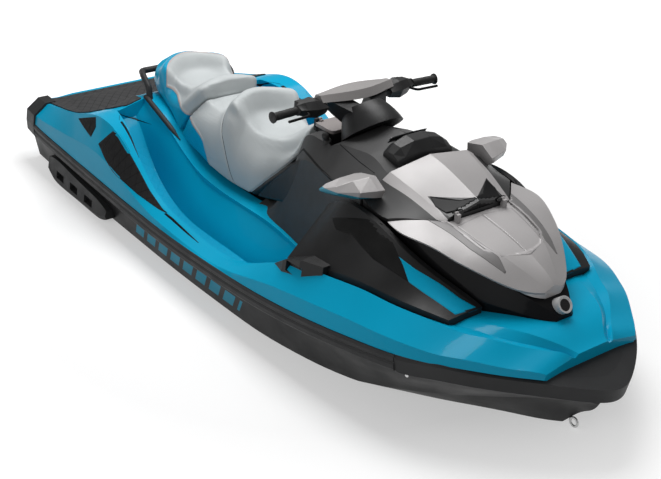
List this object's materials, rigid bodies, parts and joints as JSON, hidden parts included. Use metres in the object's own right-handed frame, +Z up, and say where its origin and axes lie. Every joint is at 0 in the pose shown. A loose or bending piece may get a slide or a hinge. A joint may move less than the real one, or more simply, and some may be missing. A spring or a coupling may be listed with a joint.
{
  "type": "personal watercraft",
  "caption": "Three-seat jet-driven personal watercraft with a deep V hull, deck and footwells, saddle seats, raked handlebar, front storage lid, mirrors and reverse gate.",
  "frame": {"origin": "amidships on the middle plane at the resting waterline", "axes": "+X towards the bow, +Y to port, +Z up"},
  "size_m": [3.4664, 1.2546, 1.1277],
  "materials": {
    "hull_black": "dark moulded hull, semi-gloss",
    "deck_blue": "bright blue gloss gel coat",
    "silver": "silver-grey metallic paint",
    "gloss_black": "gloss black",
    "dark_plastic": "moulded charcoal plastic, fine grain",
    "mat_grey": "ribbed foam traction mat",
    "rubber_black": "soft black rubber",
    "seat_vinyl": "pale grey marine vinyl",
    "aluminium": "cast aluminium",
    "steel": "stainless steel",
    "engine_grey": "plain engine block"
  },
  "bodies": {
    "craft": {"bow_bumper": "dark_plastic", "bow_eye": "steel", "cleat_port": "dark_plastic", "cleat_starboard": "dark_plastic", "console": "dark_plastic", "cowl": "gloss_black", "deck": "deck_blue", "engine": "engine_grey", "footwell_mat_port": "mat_grey", "footwell_mat_starboard": "mat_grey", "gauge_housing": "dark_plastic", "glovebox": "dark_plastic", "grab_handle": "dark_plastic", "hood": "silver", "hull": "hull_black", "intake_grate": "aluminium", "nose_badge": "steel", "platform_mat": "mat_grey", "pump": "aluminium", "ride_plate": "dark_plastic", "rub_rail_port": "dark_plastic", "rub_rail_starboard": "dark_plastic", "side_panel_port": "dark_plastic", "side_panel_starboard": "dark_plastic", "sponson_port": "dark_plastic", "sponson_starboard": "dark_plastic", "step_brackets": "steel", "stern_bumper_port": "dark_plastic", "stern_bumper_starboard": "dark_plastic", "stern_eyes": "steel", "storage_bin": "dark_plastic"},
    "steering": {"neck_cover": "dark_plastic", "steering_pad": "silver", "handlebar": "steel", "grip_port": "rubber_black", "grip_starboard": "rubber_black", "switch_pod_port": "dark_plastic", "switch_pod_starboard": "dark_plastic", "lever_port": "dark_plastic", "lever_starboard": "dark_plastic"},
    "nozzle": {"nozzle": "aluminium"},
    "gate": {"reverse_gate": "dark_plastic"},
    "impeller": {"impeller": "steel"},
    "lid": {"storage_lid": "dark_plastic", "mirror_port": "silver", "mirror_starboard": "silver"},
    "glove_lid": {"glovebox_lid": "silver"},
    "front_seat": {"seat_front": "seat_vinyl"},
    "rear_seat": {"seat_rear": "seat_vinyl"},
    "step": {"boarding_step": "steel"}
  },
  "joints": [
    {"name": "steer", "type": "hinge", "parent": "craft", "child": "steering", "pos_m": [0.3345, 0, 0.72], "axis": [-0.6252, 0, 0.7804], "range_deg": [-23, 23]},
    {"name": "nozzle_turn", "type": "hinge", "parent": "craft", "child": "nozzle", "pos_m": [-1.6005, 0, -0.075], "axis": [0, 0, 1], "range_deg": [-20, 20]},
    {"name": "gate_swing", "type": "hinge", "parent": "craft", "child": "gate", "pos_m": [-1.5675, 0, -0.075], "axis": [0, -1, 0], "range_deg": [0, 74]},
    {"name": "impeller_spin", "type": "hinge", "parent": "craft", "child": "impeller", "pos_m": [-1.4255, 0, -0.075], "axis": [1, 0, 0], "continuous": true},
    {"name": "lid_open", "type": "hinge", "parent": "craft", "child": "lid", "pos_m": [0.9785, 0, 0.658], "axis": [0, 1, 0], "range_deg": [0, 60]},
    {"name": "glove_lid_open", "type": "hinge", "parent": "craft", "child": "glove_lid", "pos_m": [0.0805, 0, 0.711], "axis": [0, -1, 0], "range_deg": [0, 80]},
    {"name": "rear_seat_lift", "type": "slide", "parent": "craft", "child": "rear_seat", "axis": [0, 0, 1], "range_m": [0, 0.2]},
    {"name": "front_seat_lift", "type": "slide", "parent": "craft", "child": "front_seat", "axis": [0, 0, 1], "range_m": [0, 0.12]},
    {"name": "step_fold", "type": "hinge", "parent": "craft", "child": "step", "pos_m": [-1.7215, 0, 0.095], "axis": [0, -1, 0], "range_deg": [0, 160]}
  ],
  "couplings": [
    {"joint": "nozzle_turn", "follows": "steer", "ratio": -0.8696},
    {"joint": "front_seat_lift", "follows": "rear_seat_lift", "ratio": 0.6}
  ]
}
